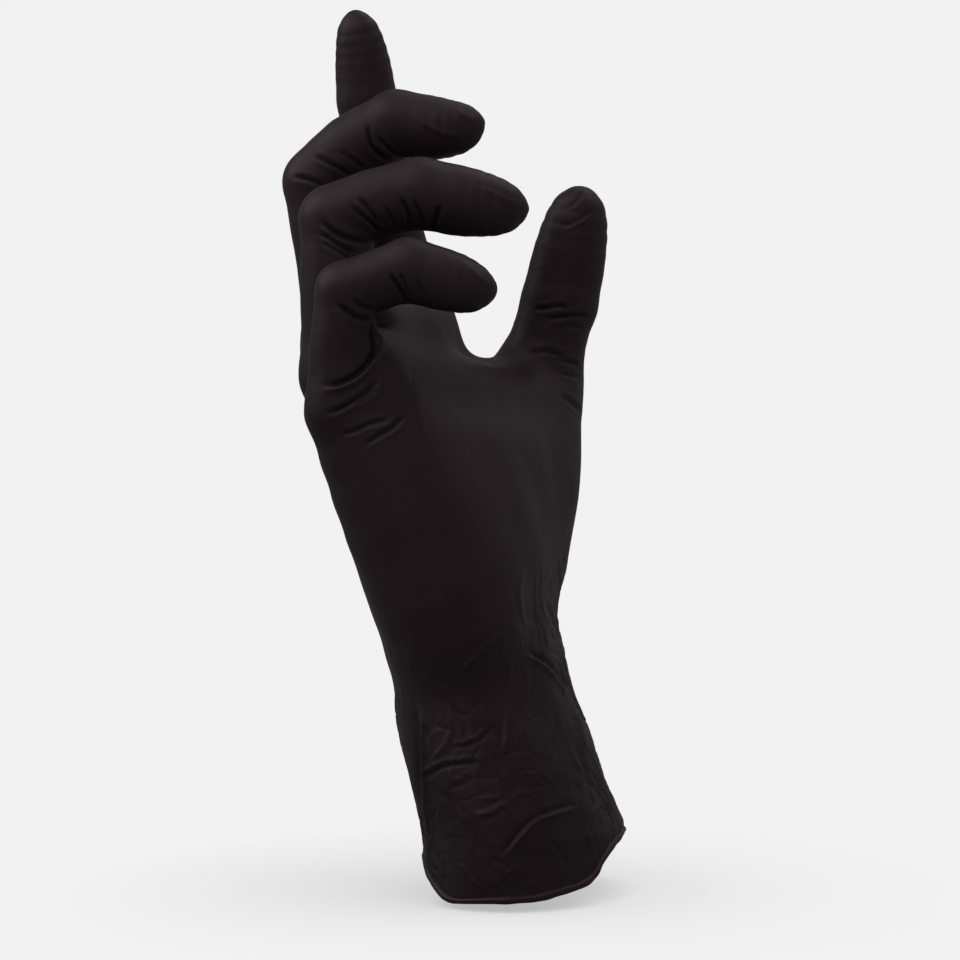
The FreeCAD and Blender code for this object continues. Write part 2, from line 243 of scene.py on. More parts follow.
THUMB = [
    [(7.75, -17.5, 20, 12), (11.25, -2.5, 27, 12.875), (13, 10, 34, 11.875),
     (14.5, 23.75, 42, 10.75)],
    [(14.5, 23.75, 42, 10.875), (17.125, 35, 42, 9.575), (19.875, 44.25, 42, 9.425)],
    [(19.875, 44.25, 42, 9.425), (21.625, 52.5, 41.6, 9.375), (23.25, 60.5, 40.8, 8.625),
     (24.375, 66, 40, 7.125), (25, 69.25, 39.5, 4.25)],
]
PALM = [
    [(-8, -36.25, -20, 14.875), (-16.75, -20, -22, 12.875), (-25.5, -2.5, -24.5, 10.75),
     (-35.25, 17, -28, 7.5)],
    [(-7, -35, -8, 15.5), (-35, 26, -10, 9)],
    [(-6.25, -35, 6, 16), (-33.5, 32.5, 9, 10.25)],
    [(-4.5, -35, 18, 15), (-18, 33.75, 28, 11)],
    [(-5.75, -35, -16, 15.5), (-9.75, -20, -20, 14.75), (-19.5, 2.5, -25, 12.5),
     (-25, 16.25, -26, 10.25)],
    [(4, -30, 12, 13.5), (7.75, -17.5, 20, 11.875)],
    [(-27, 23.5, -26, 8.5), (-24.25, 30.25, -10, 8.5), (-21.75, 35.25, 9, 8.5),
     (-18, 38.25, 26, 8)],
    [(-23.75, 23, -22, 9), (-9.25, 22, -4, 9), (2.5, 20.75, 18, 8), (12.5, 19, 39, 9.25)],
    [(-18.75, 7.5, -22, 11.5), (-4.5, 6.5, -8, 10.75), (4.5, 7, 10, 10.75), (12, 7.5, 30, 11)],
    [(-14.5, -7.5, -22, 13), (0, -8, -7, 12.25), (10, -5, 22, 12.25)],
    [(-8.5, -22.5, -18, 14.25), (1, -22, -6, 13.75), (7, -20.5, 14, 12.5)],
    [(-26, 32, -10, 8.5), (-19.75, 33.25, 4, 9.25), (-17.75, 34.5, 24, 9.5)],
    [(-27, 37.5, -8, 7.5), (-21.75, 38.5, 6, 8), (-19.75, 40, 24, 8.5)],
]
THUMB_WEB = [(-14, 31.25, 27, 5.5), (-7.5, 27.25, 31, 5.25), (1.5, 24, 35, 5.375),
             (7.5, 25, 38, 5.75), (12.5, 29.5, 41, 6.75)]

FINGER_CHAINS = {name: [chain(c) for c in chains] for name, chains in FINGERS.items()}
THUMB_CHAINS = [chain(c) for c in THUMB]
PALM_CHAINS = [chain(c) for c in PALM]
THUMB_WEB_CHAIN = chain(THUMB_WEB)
# the thumb's root counts as part of the hand
DIGIT_CHAINS = {**FINGER_CHAINS, "thumb": THUMB_CHAINS[1:]}
DIGITS = list(DIGIT_CHAINS)

# Sleeve from the bottom up: drawn up, right and depth of its middle, half the width seen,
# and half the size along X.
SLEEVE = np.array([
    (-120, 16.25, -9, 25.5, 34), (-105, 12.75, -8.5, 25.5, 33.8), (-95, 11.75, -8, 25.375, 33.5),
    (-90, 11.25, -7.7, 25, 33.2), (-86.25, 10.875, -7.5, 25, 33),
    (-83.75, 10.125, -7.3, 24.625, 32.8), (-80, 9, -7, 24.375, 32.5), (-75, 7.125, -6, 24, 32),
    (-70, 5.625, -5, 24.125, 31.5), (-65, 4.125, -4, 24, 31), (-60, 2.875, -3, 23.5, 30.5),
    (-55, 1.5, -2, 22.5, 30), (-50, 0.75, -1, 21.75, 29.7), (-45, -0.125, 0, 21.75, 29.5),
    (-40, -0.5, 0, 21, 29), (-32.5, -1.75, 1, 19.25, 27), (-25, -3.5, 2, 16.5, 25),
    (-15, -5.5, 3, 13, 22),
])
SLEEVE_TOP = 70.0
up_, right_, depth_, half_seen, SLEEVE_HALF_X = SLEEVE.T
SLEEVE_X, SLEEVE_Y, SLEEVE_Z = at(right_, up_, depth_).T
# half size along Y that gives the width seen; never under 3 mm before the turn
SLEEVE_HALF_Y = np.sqrt(np.maximum(half_seen ** 2 - (SLEEVE_HALF_X * SIN_YAW) ** 2, 9)) / COS_YAW


def sleeve_local(p):
    """Offsets from the sleeve's middle along X and Y, and its half sizes at that height."""
    z = p[:, 2]
    return (p[:, 0] - np.interp(z, SLEEVE_Z, SLEEVE_X), p[:, 1] - np.interp(z, SLEEVE_Z, SLEEVE_Y),
            np.interp(z, SLEEVE_Z, SLEEVE_HALF_X), np.interp(z, SLEEVE_Z, SLEEVE_HALF_Y))


def sleeve_field(p):
    dx, dy, a, b = sleeve_local(p)
    q = np.sqrt((dx / a) ** 2 + (dy / b) ** 2) + 1e-9
    slope = np.sqrt((dx / a ** 2) ** 2 + (dy / b ** 2) ** 2) + 1e-9
    return np.maximum((q - 1) * q / slope, p[:, 2] - SLEEVE_TOP)


def hand_field(p):
    """Palm, thumb root, thumb web and sleeve."""
    hand = None
    for points in PALM_CHAINS:
        one = chain_field(p, points, 3.0)
        hand = one if hand is None else smin(hand, one, 8.5)
    hand = smin(hand, chain_field(p, THUMB_CHAINS[0]), 7.0)
    hand = smin(hand, chain_field(p, THUMB_WEB_CHAIN), 7.0)
    return smin(hand, sleeve_field(p), 6.0)


def part_fields(p):
    """Distance to each digit, one column each in the order of DIGITS."""
    return np.stack([np.minimum.reduce([chain_field(p, points) for points in chains])
                     for chains in DIGIT_CHAINS.values()], 1)


# Hinge points of each digit from its root, with the tip last.
HINGE = {
    "index": [(32.3, 42.8, 140.5), (32.4, 48.5, 166.7), (31.5, 51.7, 189.0), (29.3, 53.5, 207.7)],
    "middle": [(9.1, 52.6, 140.6), (9.3, 58.3, 168.3), (13.4, 38.0, 183.2), (16.0, 21.6, 181.8)],
    "ring": [(-9.3, 45.1, 135.2), (-9.0, 46.5, 158.2), (-3.3, 26.9, 165.2), (2.3, 6.9, 161.0)],
    "little": [(-26.8, 38.3, 124.5), (-26.0, 37.0, 140.5), (-21.6, 23.7, 145.6),
               (-17.2, 8.0, 141.5)],
    "thumb": [(29.9, 11.3, 74.3), (54.8, 13.1, 115.7), (57.5, 8.3, 136.3), (58.4, 3.0, 159.6)],
}
HINGE = {name: np.array(points) for name, points in HINGE.items()}
# degrees each finger's hinge axis is turned from +X towards +Y
AXIS_YAW = {"index": 2.0, "middle": 10.5, "ring": 15.5, "little": 16.0}
# height of the web between two fingers above the middle of their knuckles
WEB_HEIGHT = {("index", "middle"): -0.8, ("middle", "ring"): -1.0, ("ring", "little"): -2.6}
KNUCKLE_TILT = np.array([0, 0.4, 0])  # leans the knuckle planes towards the back of the hand


def web_frame(a, b):
    """Up direction at the web between two fingers, and a point of the web."""
    up = unit(unit(HINGE[a][1] + HINGE[b][1] - HINGE[a][0] - HINGE[b][0]) + KNUCKLE_TILT)
    return up, 0.5 * (HINGE[a][0] + HINGE[b][0]) + up * WEB_HEIGHT[(a, b)]


def above_web(p, a, b):
    up, foot = web_frame(a, b)
    return (p - foot) @ up


def glove_field(p):
    hand = hand_field(p)
    total, own = None, {}
    for name, chains in FINGER_CHAINS.items():
        proximal, middle, tip = [chain_field(p, points) for points in chains]
        own[name] = np.minimum(proximal, np.minimum(middle, tip))
        finger = smin(smin(hand, proximal, 5.0), smin(middle, tip, 1.6), 1.6)
        total = finger if total is None else np.minimum(total, finger)
    for a, b in WEB_HEIGHT:  # a thin slot parts two neighbours above their web
        slot = np.minimum(0.62 - 0.5 * np.abs(own[a] - own[b]), 0.6 * above_web(p, a, b))
        slot = np.minimum(slot, 9.0 - np.maximum(own[a], own[b]))
        total = -smin(-total, -slot, 0.8)
    thumb = smin(chain_field(p, THUMB_CHAINS[1]), chain_field(p, THUMB_CHAINS[2]), 1.6)
    return smin(total, thumb, 2.5)


# ----------------------------------------------------------------- rim of cuff
# Degrees round the opening from +X towards -Y, and the drawn height of the rim there.
RIM = np.array([
    (10, -89.5), (40, -87.5), (72, -87.25), (80, -88.25), (90, -90), (97, -91.25),
    (108, -94.75), (117, -99.5), (127, -101.5), (137.5, -102.75), (154, -104.75),
    (180, -105.125), (205, -105.125), (211, -104.25), (218, -102), (226, -100),
    (234, -97.25), (240, -95.25), (252, -93), (280, -91.75), (310, -92.5), (342, -92.5),
])
OPENING_HALF_X, OPENING_HALF_Y = 33.5, 24.0
Z_CUT, Z_FREE = -6.0, 34.0  # the rim's plane in grid space, and where its warp has faded out


def rim_profile():
    """Height of the rim at each whole degree, smoothed."""
    turn, up = RIM.T
    depth = (OPENING[2] + OPENING_HALF_X * np.cos(np.radians(turn)) * FORWARD[0]
             - OPENING_HALF_Y * np.sin(np.radians(turn)) * FORWARD[1])
    z = at(OPENING[0], up, depth)[:, 2]
    z = np.interp(np.arange(360.0), np.r_[turn[-1] - 360, turn, turn[0] + 360],
                  np.r_[z[-1], z, z[0]])
    kernel = bell(np.arange(-12, 13) / 3.0)
    return np.convolve(np.r_[z[-12:], z, z[:12]], kernel / kernel.sum(), "valid")


RIM_Z = rim_profile()


def rim_height(dx, dy, a, b):
    turn = np.degrees(np.arctan2(-dy / b, dx / a)) % 360
    return np.interp(turn, np.arange(361.0), np.r_[RIM_Z, RIM_Z[0]])


def unwarp(q):
    """Grid space, where the rim is the plane z = Z_CUT, to the row frame."""
    p = q.copy()
    share = rise(q[:, 2], Z_FREE, Z_CUT)
    for _ in range(2):
        p[:, 2] = q[:, 2] + (rim_height(*sleeve_local(p)) - Z_CUT) * share
    return p


# ------------------------------------------------------------- surface by nets
def sample_grid(field, low, dims, cell):
    """Field values on a grid, worked out only in the blocks near the surface."""
    block, reach = 4, 2.5
    nb = np.array(dims) // block
    index = np.stack(np.meshgrid(*[np.arange(n) for n in nb], indexing="ij"), -1).reshape(-1, 3)
    centre = low + (index * block + (block - 1) / 2.0) * cell
    middle = batched(field, centre, 24.0)
    values = np.repeat(np.sign(middle)[:, None] * 10.0, block ** 3, 1)
    step = np.stack(np.meshgrid(*[np.arange(block)] * 3, indexing="ij"), -1).reshape(-1, 3)
    near = np.where(np.abs(middle) < block * cell * 0.9 + reach)[0]
    p = low + ((index[near] * block)[:, None, :] + step[None]) * cell
    values[near] = batched(field, p.reshape(-1, 3)).reshape(len(near), -1)
    values = values.reshape(nb[0], nb[1], nb[2], block, block, block).transpose(0, 3, 1, 4, 2, 5)
    return values.reshape(nb[0] * block, nb[1] * block, nb[2] * block)


def surface_nets(values, low, cell):
    """One vertex per cell the surface crosses, one quad per grid edge it crosses."""
    inside = values < 0
    shape = values.shape
    corners = [(i, j, k) for i in (0, 1) for j in (0, 1) for k in (0, 1)]
    count = np.zeros(tuple(n - 1 for n in shape), np.int8)
    for i, j, k in corners:
        count += inside[i:shape[0] - 1 + i, j:shape[1] - 1 + j, k:shape[2] - 1 + k]
    active = np.argwhere((count > 0) & (count < 8))
    ids = -np.ones(count.shape, np.int64)
    ids[active[:, 0], active[:, 1], active[:, 2]] = np.arange(len(active))
    total, hits = np.zeros((len(active), 3)), np.zeros(len(active))
    for a in corners:
        for axis in range(3):
            if a[axis]:
                continue
            b = list(a)
            b[axis] = 1
            va = values[active[:, 0] + a[0], active[:, 1] + a[1], active[:, 2] + a[2]]
            vb = values[active[:, 0] + b[0], active[:, 1] + b[1], active[:, 2] + b[2]]
            crossed = (va < 0) != (vb < 0)
            t = np.where(crossed, va / np.where(crossed, va - vb, 1), 0)
            p = np.array(a, float)[None] + t[:, None] * (np.array(b) - np.array(a))[None]
            total += p * crossed[:, None]
            hits += crossed
    verts = low + (active + total / hits[:, None]) * cell
    faces = []
    for axis in range(3):
        u, w = (axis + 1) % 3, (axis + 2) % 3
        here = [slice(1, n - 1) for n in shape]
        there = list(here)
        here[axis], there[axis] = slice(0, shape[axis] - 1), slice(1, shape[axis])
        first, second = inside[tuple(here)], inside[tuple(there)]
        edge = np.argwhere(first != second)
        outward = first[edge[:, 0], edge[:, 1], edge[:, 2]]
        edge = edge + 1
        edge[:, axis] -= 1
        quad = []
        for du, dw in ((-1, -1), (0, -1), (0, 0), (-1, 0)):
            r = edge.copy()
            r[:, u] += du
            r[:, w] += dw
            quad.append(ids[r[:, 0], r[:, 1], r[:, 2]])
        quad = np.stack(quad, 1)
        quad[~outward] = quad[~outward][:, ::-1]
        faces.append(quad)
    return verts, np.concatenate(faces)


# ------------------------------------------------------------------ mesh tools
def quad_sides(quads):
    """The four sides of every quad, lower vertex first."""
    return np.sort(np.concatenate([quads[:, [i, (i + 1) % 4]] for i in range(4)]), 1)


def relax(p, edges, fixed, amount):
    """Move each point towards the mean of its neighbours."""
    total, count = np.zeros_like(p), np.zeros(len(p))
    for a, b in ((0, 1), (1, 0)):
        for axis in range(3):
            total[:, axis] += np.bincount(edges[:, a], p[edges[:, b], axis], len(p))
        count += np.bincount(edges[:, a], minlength=len(p))
    move = (total / np.maximum(count, 1)[:, None] - p) * amount
    move[fixed] = 0
    return p + move


TETRA = np.array([[1, -1, -1], [-1, -1, 1], [-1, 1, -1], [1, 1, 1]], float)
PROBE = 0.12  # reach of the gradient's probes along each axis


def onto_glove(p, fixed):
    """One step of at most 0.8 mm towards the surface; fixed points keep their height."""
    probes = (p[None] + TETRA[:, None] * PROBE).reshape(-1, 3)
    values = batched(glove_field, probes).reshape(4, len(p))
    slope = (TETRA.T @ values).T / (4 * PROBE)
    move = slope * (values.mean(0) / np.maximum((slope * slope).sum(1), 0.15))[:, None]
    move = move * np.minimum(1, 0.8 / (np.linalg.norm(move, axis=1) + 1e-9))[:, None]
    flat = move.copy()
    flat[:, 2] = 0
    return p - np.where(fixed[:, None], flat, move)


def subdivide(p, quads):
    """Split each quad in four; also gives the ends of each split side."""
    sides = quad_sides(quads)
    key, inverse = np.unique(sides[:, 0] * len(p) + sides[:, 1], return_inverse=True)
    ends_a, ends_b = key // len(p), key % len(p)
    inverse = inverse.reshape(4, -1) + len(p)
    centre = np.arange(len(quads)) + len(p) + len(key)
    split = [np.stack([quads[:, i], inverse[i], centre, inverse[(i + 3) % 4]], 1)
             for i in range(4)]
    new = np.concatenate([p, 0.5 * (p[ends_a] + p[ends_b]), p[quads].mean(1)])
    return new, np.concatenate(split), (ends_a, ends_b)


def vertex_normals(p, quads):
    a, b = p[quads[:, 2]] - p[quads[:, 0]], p[quads[:, 3]] - p[quads[:, 1]]
    face = np.cross(a, b)
    n = np.zeros_like(p)
    for i in range(4):
        for axis in range(3):
            n[:, axis] += np.bincount(quads[:, i], face[:, axis], len(p))
    return n / (np.linalg.norm(n, axis=1)[:, None] + 1e-12)


# -------------------------------------------------------------------- the film
CELL = 0.9
GRID_LOW = np.array([-48.0, -44.0, -14.0])
GRID_SIZE = (122, 122, 240)


def net_above_rim():
    """The surface down to the rim, in grid space, with a mask of the rim's vertices."""
    dims = [((int(size / CELL) + 3) // 4) * 4 for size in GRID_SIZE]
    grid = sample_grid(lambda q: glove_field(unwarp(q)), GRID_LOW, dims, CELL)
    verts, quads = surface_nets(grid, GRID_LOW, CELL)
    layer = int(round((Z_CUT - GRID_LOW[2]) / CELL))
    cell_z = np.floor((verts[:, 2] - GRID_LOW[2]) / CELL + 1e-6).astype(int)
    quads = quads[(cell_z[quads] >= layer).all(1)]
    used = np.unique(quads)
    remap = -np.ones(len(verts), int)
    remap[used] = np.arange(len(used))
    verts, quads = verts[used], remap[quads]
    rim = cell_z[used] == layer
    verts[rim, 2] = Z_CUT
    return verts, quads, rim


def plain_film():
    """The glove's smooth surface: points, quads, edges and the mask of the rim."""
    verts, quads, rim = net_above_rim()
    p = unwarp(verts)
    edges = np.unique(quad_sides(quads), axis=0)
    for _ in range(3):
        p = relax(p, edges, rim, 0.5)
        p = onto_glove(p, rim)
    # the palm is film drawn taut from side to side: ease out what lies under it
    near = batched(part_fields, p).min(1)
    z, facing_y = p[:, 2], vertex_normals(p, quads)[:, 1]
    palm_ease = (rise(near, 0.6, 4.6) * rise(z, 60, 74) * rise(z, 152, 142)
                 * rise(facing_y, 0.35, -0.15))
    for _ in range(70):
        p = p + (relax(p, edges, rim, 0.5) - p) * palm_ease[:, None]
    wrist_ease = rise(p[:, 2], 26, 36) * rise(p[:, 2], 78, 66)
    for _ in range(22):
        p = p + (relax(p, edges, rim, 0.5) - p) * wrist_ease[:, None]
    ease = np.maximum(palm_ease, wrist_ease)
    coarse = quads
    p, quads, (a, b) = subdivide(p, quads)
    ease = np.concatenate([ease, 0.5 * (ease[a] + ease[b]), ease[coarse].mean(1)])
    rim = np.concatenate([rim, rim[a] & rim[b], np.zeros(len(coarse), bool)])
    edges = np.unique(quad_sides(quads), axis=0)
    p = relax(p, edges, rim, 0.3)
    p = p + (onto_glove(p, rim) - p) * (1 - ease)[:, None]
    return p, quads, edges, rim


points, quads, edges, rim = plain_film()
normals = vertex_normals(points, quads)

# ----------------------------------------------------------- folds and creases
digit_gap = batched(part_fields, points)
seen = np.stack(as_seen(points), 1)
to_eye = EYE - points
to_eye /= np.linalg.norm(to_eye, axis=1)[:, None]
facing = (normals * to_eye).sum(1)
front = rise(facing, 0.02, 0.32)  # the side turned to the camera


def over(name):
    """Weight of the vertices lying over one digit."""
    i = DIGITS.index(name)
    other = np.delete(digit_gap, i, 1).min(1)
    return rise(other - digit_gap[:, i], 0, 1.2) * rise(digit_gap[:, i], 2.2, 0.7)


weights = {name: over(name) for name in DIGITS}
weights["hand"] = np.ones(len(points))
# away from the index, middle and ring fingers
weights["body"] = 1 - (rise(digit_gap[:, :3].min(1), 2.6, 1.1)
                       * (digit_gap.argmin(1) != DIGITS.index("little")))

# Folds by the part they lie on: kind, width (standard deviation) and height in mm, and the
# drawn (right, up) places they run through.  A step is raised on the left of its run.
FOLDS = {
    "middle": [
        ("groove", 0.48875, 0.34, [(-47, 76), (-42.5, 75), (-38.5, 73.25)]),
        ("groove", 0.48875, 0.36, [(-42, 81.5), (-36.75, 78.75), (-31.5, 75.75)]),
        ("groove", 0.425, 0.24, [(-35.5, 82.25), (-32, 80.25), (-28.5, 77.75)]),
        ("groove", 0.48875, 0.40, [(-28.25, 89.5), (-27.25, 84), (-25, 81.25), (-22, 79.75)]),
        ("groove", 0.425, 0.30, [(-26, 86.25), (-23, 83), (-19.5, 80.5)]),
        ("ridge", 0.5525, 0.24, [(-15.5, 90), (-10, 87), (-5.5, 86)]),
        ("ridge", 0.5525, 0.18, [(-7, 93), (-3.25, 90.75), (-0.25, 89.75)]),
    ],
    "ring": [
        ("groove", 0.5525, 0.46, [(-40.25, 65.5), (-37, 62.5), (-33, 60.5), (-26.5, 59.75)]),
        ("groove", 0.48875, 0.38, [(-40.75, 62.25), (-35.5, 59), (-30.5, 56)]),
        ("groove", 0.425, 0.30, [(-40, 59.75), (-35, 57), (-31, 54.5)]),
        ("groove", 0.4675, 0.34, [(-30.5, 71), (-27, 66.75), (-25, 63.75)]),
        ("groove", 0.4675, 0.36, [(-33, 69), (-28, 65), (-24.75, 61.25)]),
        ("groove", 0.425, 0.24, [(-24, 68.75), (-22.25, 66), (-21, 62.75)]),
        ("groove", 0.48875, 0.42, [(-20.25, 71), (-18, 67), (-18, 62.75)]),
        ("groove", 0.44625, 0.30, [(-17, 70.75), (-15.25, 67), (-14.25, 63.5)]),
        ("groove", 0.7225, 0.42, [(-10.25, 69), (-11, 65.75), (-12.5, 62)]),
        ("ridge", 0.5525, 0.20, [(-0.5, 73.5), (5, 70.75), (10, 68.5)]),
    ],
    "little": [
        ("groove", 0.5525, 0.46, [(-35.75, 44.5), (-32.5, 41.75), (-30, 40.625),
                                  (-26.5, 40.625)]),
        ("groove", 0.44625, 0.28, [(-32, 45.5), (-29.5, 43.5), (-26.5, 42.75)]),
        ("groove", 0.51, 0.46, [(-23, 52), (-20.5, 48.5), (-19, 46), (-18.25, 44)]),
        ("groove", 0.425, 0.30, [(-20.25, 52.25), (-18.75, 49), (-17.25, 45.5)]),
        ("groove", 0.40375, 0.20, [(-16.5, 51), (-15, 48.25), (-13.75, 45.5)]),
        ("ridge", 0.51, 0.16, [(-4.5, 54.5), (0, 50.75), (2.75, 48.25)]),
    ],
    "thumb": [
        ("groove", 0.4675, 0.34, [(13, 42.75), (17, 43), (20, 43.5), (22.75, 42.5)]),
        ("groove", 0.4675, 0.36, [(16.25, 40), (21.25, 41), (25, 41.25), (28, 40.5)]),
        ("groove", 0.425, 0.20, [(19, 38), (22.5, 38.5), (26.5, 37.75)]),
        ("groove", 0.425, 0.22, [(25.75, 73), (24.25, 70), (21.75, 67.75)]),
        ("step", 0.51, 0.20, [(29, 67.75), (26, 65.25), (23, 63.75), (20.25, 62.5)]),
    ],
    "hand": [
        ("step", 0.6375, 0.85, [(-26, 42), (-26.25, 36.75), (-25.5, 33.75), (-26, 31.5),
                                (-27.25, 29.25), (-29.5, 26.75), (-31.5, 25.25), (-34, 24),
                                (-36.75, 23.25), (-40.5, 23)]),
        ("groove", 0.51, 0.46, [(-24.5, 25.5), (-28.75, 21.75), (-32, 19.5), (-35, 17.75),
                                (-39.75, 16.25)]),
        ("groove", 0.425, 0.26, [(-25, 23.25), (-28.5, 20.5), (-31.5, 18.25)]),
        ("groove", 0.51, 0.44, [(-18.25, 16.75), (-22, 13), (-25, 11.25), (-29.5, 8.5)]),
        ("groove", 0.4675, 0.40, [(-22, 15.25), (-27.5, 14), (-31.25, 12.25), (-35.5, 11.25)]),
        ("groove", 0.4675, 0.20, [(-16.25, 28), (-16.75, 23), (-16, 18.75)]),
        ("step", 0.7225, 0.16, [(-20.5, 28.5), (-17.5, 22), (-15, 15), (-14, 7)]),
        ("groove", 0.48875, 0.40, [(11, 31.75), (16.25, 32.25), (18.75, 31.75), (23, 30.5)]),
        ("groove", 0.48875, 0.38, [(18.25, 30.25), (22.5, 29.5), (25.5, 28.25)]),
        ("groove", 0.425, 0.28, [(19.75, 26.75), (22.5, 26.25), (25.5, 25.25)]),
        ("groove", 0.4675, 0.34, [(20, 21.5), (23, 19.25), (25.5, 16.75)]),
    ],
    "body": [  # wrist and sleeve
        ("ridge", 0.425, 0.36, [(4.75, -37.75), (0, -43), (-5.5, -48.75)]),
        ("step", 0.6375, 0.60, [(23.25, -53.5), (20, -50), (16.25, -46.25), (11.25, -42.75)]),
        ("groove", 0.5525, 0.42, [(15.75, -29.25), (18, -34.25), (20, -38), (21.75, -43.5)]),
        ("ridge", 0.5525, 0.34, [(8.25, -43), (7.25, -52.5), (6.75, -63.75), (5.5, -70.5)]),
        ("ridge", 0.5525, 0.30, [(11.75, -43.75), (11.75, -52.5), (10.75, -66.25)]),
        ("ridge", 0.5525, 0.28, [(17, -43), (16.25, -37.5), (14.5, -31.5)]),
        ("ridge", 0.51, 0.26, [(12.75, -38), (10.5, -34), (9.75, -27.5), (11.5, -21.5)]),
        ("groove", 0.51, 0.30, [(21.75, -15.75), (20.75, -19), (21.5, -23.5)]),
        ("groove", 0.51, 0.26, [(20, -20), (17, -26.5), (13.5, -31)]),
        ("step", 0.595, 0.30, [(-15.75, -75), (-10, -71.5), (-5, -70.5), (1, -70)]),
        ("step", 0.5525, 0.26, [(-7.25, -66.75), (-1.25, -65), (3, -61.25)]),
        ("ridge", 0.5525, 0.36, [(-1.5, -84), (3, -83), (5, -81.5), (7.5, -81.25)]),
        ("ridge", 0.4675, 0.24, [(0, -79.5), (5, -79.5)]),
        ("step", 0.595, 0.40, [(25.5, -81), (18.75, -83), (13.75, -85), (10, -88.75),
                               (7, -92.5), (4.5, -95)]),
        ("groove", 0.51, 0.30, [(-1, -87.5), (-0.5, -90.5), (0.25, -93.5)]),
        ("ridge", 0.425, 0.30, [(-4.75, -95.5), (-3, -98.25), (-0.75, -101.75)]),
        ("groove", 0.5525, 0.32, [(2.5, -93.75), (5, -95.75), (8, -97.75)]),
        ("ridge", 0.4675, 0.32, [(-14, -89.5), (-12.5, -94), (-10.5, -98)]),
        ("step", 0.6375, 0.52, [(-16.25, -53.5), (-15, -62.5), (-14.75, -71.25), (-14.5, -80),
                                (-13.75, -89)]),
        ("groove", 0.5525, 0.34, [(23, -64.5), (25.5, -70), (28, -78.5)]),
        ("groove", 0.5525, 0.30, [(18.25, -55), (19, -62.5), (17.75, -70.5), (15.25, -76.5)]),
        ("ridge", 0.5525, 0.30, [(23.5, -56.5), (25.5, -62.5), (26.5, -68)]),
        ("groove", 0.595, 0.34, [(-8, -55), (-4.5, -60), (-3, -66)]),
        ("groove", 0.595, 0.30, [(-10, -77.5), (-7, -81.5), (-5.5, -87)]),
        ("groove", 0.5525, 0.30, [(17, -89.5), (20, -93), (23, -97)]),
        ("ridge", 0.5525, 0.30, [(30, -80), (28, -85.5), (27, -91.5)]),
    ],
}
# gain on grooves, gain on ridges and steps, and how much painted shade a fold puts in its bed
FOLD_GAINS = {"body": (0.7, 1.15, 0.25), "hand": (1.0, 1.0, 0.8)}
DIGIT_GAINS = (1.25, 1.0, 1.0)
FOLD_STEP = 0.75  # longest straight run of a fold, about


def fold(weight, kind, sigma, height, places):
    """Height in mm that one drawn fold adds at each vertex."""
    line = spline(np.array(places, float),
                  lambda b, c: max(1, int(np.linalg.norm(c - b) / FOLD_STEP)))
    low, high = line.min(0) - 5 * sigma, line.max(0) + 5 * sigma
    near = np.flatnonzero((seen > low).all(1) & (seen < high).all(1) & (weight * front > 0.01))
    lift = np.zeros(len(seen))
    if not len(near):
        return lift
    q = seen[near]
    best = np.full(len(near), 1e9)
    side, along = np.zeros(len(near)), np.zeros(len(near))  # side is positive on the right
    length = np.r_[0, np.cumsum(np.linalg.norm(np.diff(line, axis=0), axis=1))]
    for i in range(len(line) - 1):
        a, ba = line[i], line[i + 1] - line[i]
        t = np.clip(((q - a) @ ba) / (ba @ ba), 0, 1)
        e = q - a - t[:, None] * ba
        d = np.hypot(e[:, 0], e[:, 1])
        m = d < best
        best[m] = d[m]
        side[m] = np.sign(ba[1] * e[m, 0] - ba[0] * e[m, 1])
        along[m] = (length[i] + t[m] * (length[i + 1] - length[i])) / length[-1]
    x = best / sigma
    if kind == "groove":
        profile = valley(x, lip=0.42, lip_at=2.3)
    elif kind == "ridge":
        profile = -valley(x, lip=0.3, lip_at=2.2)
    else:
        profile = -side * x * np.exp(0.5 - 0.5 * x * x)
    taper = rise(along, 0, 0.22) * rise(along, 1, 0.78)
    lift[near] = height * profile * taper * (weight * front)[near]
    return lift


def drawn_folds():
    """Lift of all the drawn folds, and the painted shade of their beds, from their depth."""
    lift, crease_shade = np.zeros(len(points)), np.zeros(len(points))
    for part, folds in FOLDS.items():
        groove_gain, other_gain, bed_shade = FOLD_GAINS.get(part, DIGIT_GAINS)
        for kind, sigma, height, places in folds:
            gain = groove_gain if kind == "groove" else other_gain
            one = fold(weights[part], kind, sigma, height * gain, places)
            lift += one
            # painted shade in the bed of each groove
            crease_shade += np.clip(-one - 0.04, 0, None) * bed_shade
    return lift, crease_shade


FAN_HEIGHT = {"index": 0.20, "middle": 0.40, "ring": 0.40, "little": 0.36, "thumb": 0.26}
FAN_RADIUS = 9.0  # from the hinge to the line the folds fan out from
FAN_FOLDS = 5
FAN_SIGMA = 0.62


